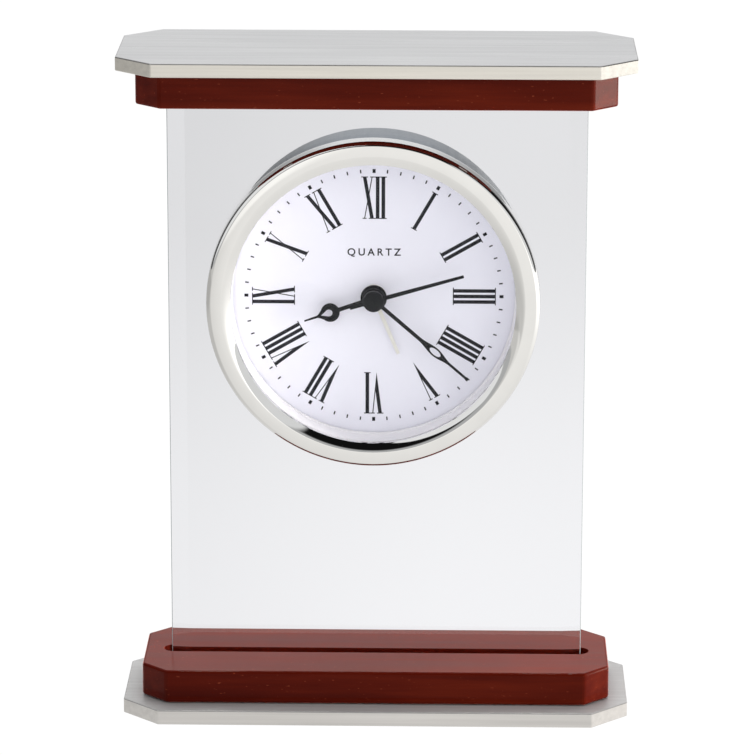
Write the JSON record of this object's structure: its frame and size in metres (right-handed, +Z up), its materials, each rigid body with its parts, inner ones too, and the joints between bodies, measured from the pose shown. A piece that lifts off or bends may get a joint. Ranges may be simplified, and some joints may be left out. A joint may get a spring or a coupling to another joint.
{
  "type": "carriage clock",
  "caption": "Table clock: bevelled glass panel between chamfered wood and metal slabs, with a round chrome-rimmed quartz alarm insert set through the glass.",
  "frame": {"origin": "centre of the bounding box's base, on the surface the feet stand on", "axes": "+Z up, -Y out of the dial towards the viewer, +X to the viewer's right"},
  "size_m": [0.1524, 0.0572, 0.2032],
  "materials": {
    "brushed_plate": "brushed",
    "rosewood": "semi-gloss lacquer",
    "panel_glass": "polished",
    "black_rubber": "matt",
    "clear_seat": "matt",
    "screw_steel": "plain",
    "polished_chrome": "mirror",
    "pale_ring": "satin",
    "white_dial": "matt print",
    "silver_drum": "satin",
    "black_plastic": "fine matt",
    "gear_plastic": "plain",
    "bonded_magnet": "plain",
    "brass": "plain",
    "coil_copper": "enamelled winding",
    "circuit_board": "solder resist",
    "black_hand": "satin black",
    "grey_hand": "satin",
    "grey_plastic": "plain",
    "cell_wrap": "printed wrap"
  },
  "bodies": {
    "stand": {"base_block": "rosewood", "base_plate": "brushed_plate", "base_screw_front_left": "screw_steel", "base_screw_front_right": "screw_steel", "base_screw_rear_left": "screw_steel", "base_screw_rear_right": "screw_steel", "battery": "cell_wrap", "bezel": "polished_chrome", "cap_block": "rosewood", "cap_plate": "brushed_plate", "cap_screw_front_left": "screw_steel", "cap_screw_front_right": "screw_steel", "cap_screw_rear_left": "screw_steel", "cap_screw_rear_right": "screw_steel", "case_drum": "silver_drum", "circuit_board": "circuit_board", "coil": "coil_copper", "contact_plate": "screw_steel", "contact_spring": "screw_steel", "cover_screw_1": "screw_steel", "cover_screw_2": "screw_steel", "cover_screw_3": "screw_steel", "crystal": "panel_glass", "dial": "white_dial", "foot_front_left": "black_rubber", "foot_front_right": "black_rubber", "foot_rear_left": "black_rubber", "foot_rear_right": "black_rubber", "front_gasket": "black_rubber", "glass_panel": "panel_glass", "glass_seat_lower": "clear_seat", "glass_seat_upper": "clear_seat", "inner_wall_ring": "pale_ring", "movement_housing": "black_plastic", "movement_plate": "black_plastic", "quartz_can": "screw_steel", "rear_cover": "black_plastic", "rear_gasket": "black_rubber", "sounder": "brass", "stator": "screw_steel", "train_bridge": "gear_plastic"},
    "seconds": {"seconds_wheel": "gear_plastic", "second_hand": "black_hand"},
    "intermediate": {"intermediate_wheel": "gear_plastic"},
    "rotor": {"rotor": "bonded_magnet"},
    "third": {"third_wheel": "gear_plastic"},
    "centre": {"centre_wheel": "gear_plastic"},
    "minute": {"cannon_pinion": "brass", "minute_hand": "black_hand"},
    "minute_works": {"minute_works_wheel": "gear_plastic"},
    "hour": {"hour_wheel": "gear_plastic", "hour_hand": "black_hand"},
    "alarm": {"alarm_wheel": "gear_plastic", "alarm_hand": "grey_hand"},
    "time_knob": {"time_set_knob": "black_plastic"},
    "alarm_knob": {"alarm_set_knob": "black_plastic"},
    "switch": {"alarm_switch": "grey_plastic"},
    "door": {"battery_door": "black_plastic"}
  },
  "joints": [
    {"name": "second_hand_turn", "type": "hinge", "parent": "stand", "child": "seconds", "pos_m": [-0.001, 0, 0.1269], "axis": [0, 1, 0], "continuous": true},
    {"name": "intermediate_turn", "type": "hinge", "parent": "stand", "child": "intermediate", "pos_m": [-0.00983, 0, 0.132], "axis": [0, 1, 0], "continuous": true},
    {"name": "rotor_turn", "type": "hinge", "parent": "stand", "child": "rotor", "pos_m": [-0.01583, 0, 0.132], "axis": [0, 1, 0], "continuous": true},
    {"name": "third_wheel_turn", "type": "hinge", "parent": "stand", "child": "third", "pos_m": [0.00858, 0, 0.13039], "axis": [0, 1, 0], "continuous": true},
    {"name": "centre_wheel_turn", "type": "hinge", "parent": "stand", "child": "centre", "pos_m": [-0.001, 0, 0.1269], "axis": [0, 1, 0], "continuous": true},
    {"name": "minute_hand_turn", "type": "hinge", "parent": "stand", "child": "minute", "pos_m": [-0.001, 0, 0.1269], "axis": [0, 1, 0], "continuous": true},
    {"name": "minute_works_turn", "type": "hinge", "parent": "stand", "child": "minute_works", "pos_m": [-0.00267, 0, 0.13635], "axis": [0, 1, 0], "continuous": true},
    {"name": "hour_hand_turn", "type": "hinge", "parent": "stand", "child": "hour", "pos_m": [-0.001, 0, 0.1269], "axis": [0, 1, 0], "continuous": true},
    {"name": "time_set_turn", "type": "hinge", "parent": "stand", "child": "time_knob", "pos_m": [-0.001, 0, 0.14581], "axis": [0, 1, 0], "continuous": true},
    {"name": "alarm_hand_turn", "type": "hinge", "parent": "stand", "child": "alarm", "pos_m": [-0.001, 0, 0.1269], "axis": [0, 1, 0], "continuous": true},
    {"name": "alarm_set_turn", "type": "hinge", "parent": "stand", "child": "alarm_knob", "pos_m": [-0.0144, 0, 0.12381], "axis": [0, 1, 0], "continuous": true},
    {"name": "alarm_switch_slide", "type": "slide", "parent": "stand", "child": "switch", "axis": [1, 0, 0], "range_m": [0, 0.003]},
    {"name": "battery_door_slide", "type": "slide", "parent": "stand", "child": "door", "axis": [0, 0, -1], "range_m": [0, 0.007]}
  ],
  "couplings": [
    {"joint": "intermediate_turn", "follows": "second_hand_turn", "ratio": -7.5},
    {"joint": "rotor_turn", "follows": "second_hand_turn", "ratio": 30},
    {"joint": "third_wheel_turn", "follows": "second_hand_turn", "ratio": -0.13333},
    {"joint": "centre_wheel_turn", "follows": "second_hand_turn", "ratio": 0.016667},
    {"joint": "minute_works_turn", "follows": "minute_hand_turn", "ratio": -0.33333},
    {"joint": "hour_hand_turn", "follows": "minute_hand_turn", "ratio": 0.083333},
    {"joint": "time_set_turn", "follows": "minute_hand_turn", "ratio": 1},
    {"joint": "alarm_set_turn", "follows": "alarm_hand_turn", "ratio": -1.3333}
  ]
}
